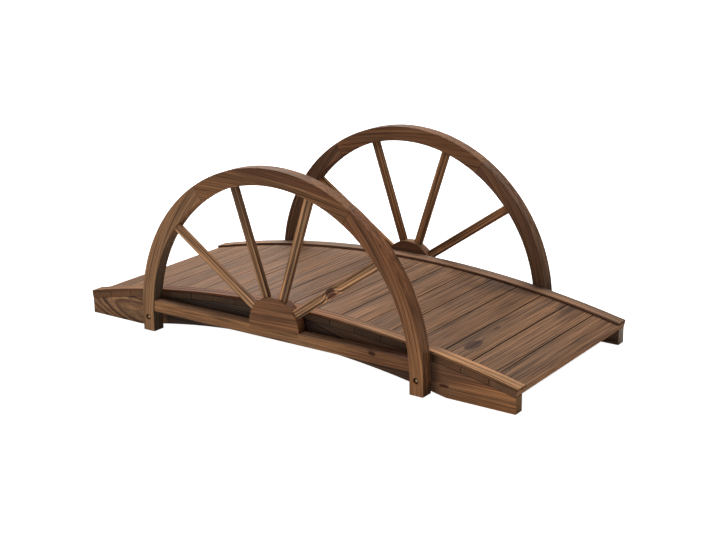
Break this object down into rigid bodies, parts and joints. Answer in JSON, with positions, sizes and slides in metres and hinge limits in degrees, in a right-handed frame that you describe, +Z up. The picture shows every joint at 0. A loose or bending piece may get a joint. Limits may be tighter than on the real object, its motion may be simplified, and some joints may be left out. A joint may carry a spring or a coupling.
{
  "type": "moon bridge",
  "caption": "Small arched garden bridge of stained wood: cross-board deck on two stringers, with half a spoked wagon wheel as the rail on each side.",
  "frame": {"origin": "on the ground under the middle of the deck", "axes": "+X along the deck, +Y across it towards the back wheel, +Z up"},
  "size_m": [1.329, 0.64, 0.489],
  "materials": {
    "deck_wood": "brown stain, matt",
    "stringer_wood": "brown stain, matt",
    "kerb_wood": "brown stain, matt",
    "wheel_wood": "brown stain, matt",
    "spoke_wood": "brown stain, matt",
    "bolt_metal": "yellow-plated, dull"
  },
  "bodies": {
    "root": {"back_kerb": "kerb_wood", "back_left_bolt": "bolt_metal", "back_right_bolt": "bolt_metal", "back_stringer": "stringer_wood", "back_wheel_crown_felloe": "wheel_wood", "back_wheel_hub": "wheel_wood", "back_wheel_left_felloe": "wheel_wood", "back_wheel_rail": "wheel_wood", "back_wheel_right_felloe": "wheel_wood", "back_wheel_spoke_1": "spoke_wood", "back_wheel_spoke_2": "spoke_wood", "back_wheel_spoke_3": "spoke_wood", "back_wheel_spoke_4": "spoke_wood", "deck_board_01": "deck_wood", "deck_board_02": "deck_wood", "deck_board_03": "deck_wood", "deck_board_04": "deck_wood", "deck_board_05": "deck_wood", "deck_board_06": "deck_wood", "deck_board_07": "deck_wood", "deck_board_08": "deck_wood", "deck_board_09": "deck_wood", "deck_board_10": "deck_wood", "deck_board_11": "deck_wood", "deck_board_12": "deck_wood", "deck_board_13": "deck_wood", "deck_board_14": "deck_wood", "deck_board_15": "deck_wood", "deck_board_16": "deck_wood", "deck_board_17": "deck_wood", "deck_board_18": "deck_wood", "front_kerb": "kerb_wood", "front_left_bolt": "bolt_metal", "front_right_bolt": "bolt_metal", "front_stringer": "stringer_wood", "front_wheel_crown_felloe": "wheel_wood", "front_wheel_hub": "wheel_wood", "front_wheel_left_felloe": "wheel_wood", "front_wheel_rail": "wheel_wood", "front_wheel_right_felloe": "wheel_wood", "front_wheel_spoke_1": "spoke_wood", "front_wheel_spoke_2": "spoke_wood", "front_wheel_spoke_3": "spoke_wood", "front_wheel_spoke_4": "spoke_wood"}
  },
  "joints": []
}
